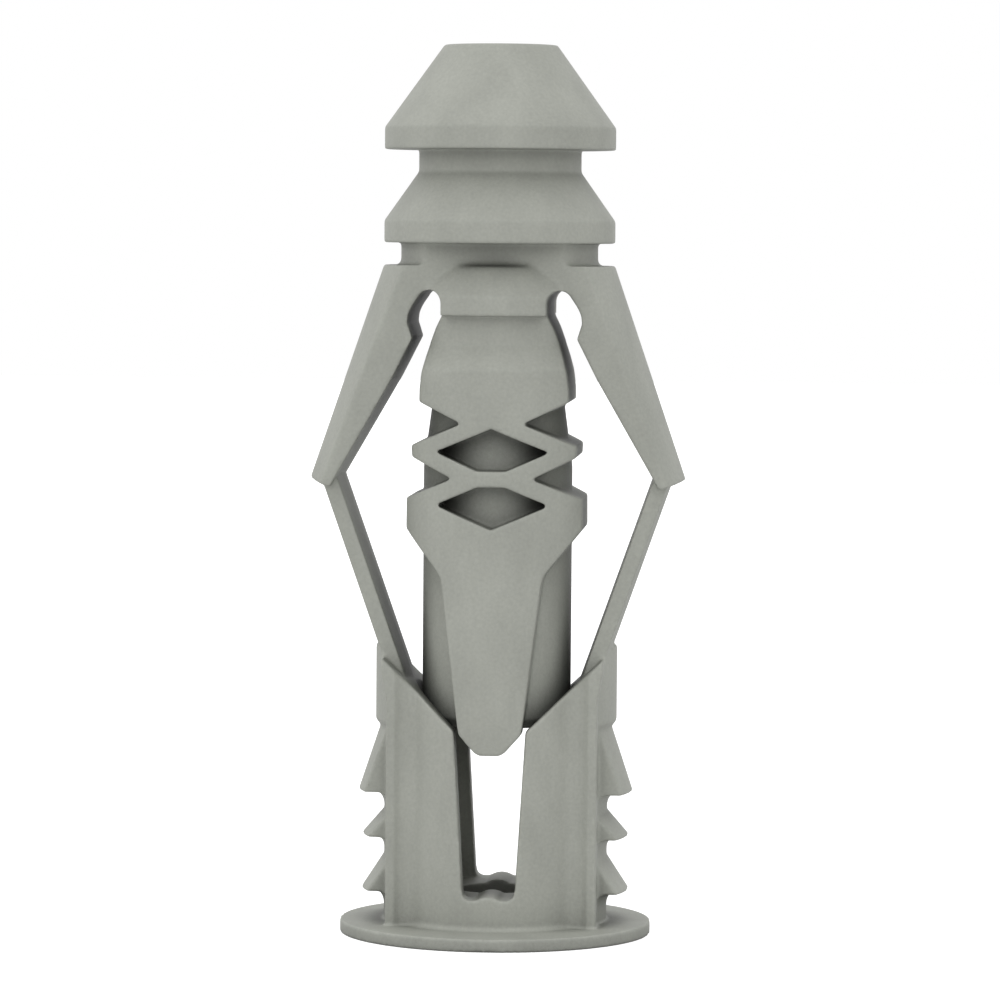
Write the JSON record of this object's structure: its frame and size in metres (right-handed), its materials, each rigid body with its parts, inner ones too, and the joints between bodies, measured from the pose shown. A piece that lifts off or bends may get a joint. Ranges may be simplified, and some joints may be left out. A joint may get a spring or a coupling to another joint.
{
  "type": "plastic drywall anchor",
  "caption": "Moulded plastic wall anchor: slotted, toothed sleeve on a round flange, folding side arms and a barbed nose. A screw draws the nose down and spreads the arms behind the board.",
  "frame": {"origin": "centre of the flange's outer face, on the screw axis", "axes": "+Z from the flange to the nose, X towards the folding arms, -Y towards the front slot"},
  "size_m": [0.013, 0.0108, 0.0308],
  "materials": {
    "grey_plastic": "matte moulded"
  },
  "bodies": {
    "root": {"anchor_body": "grey_plastic"}
  },
  "joints": []
}
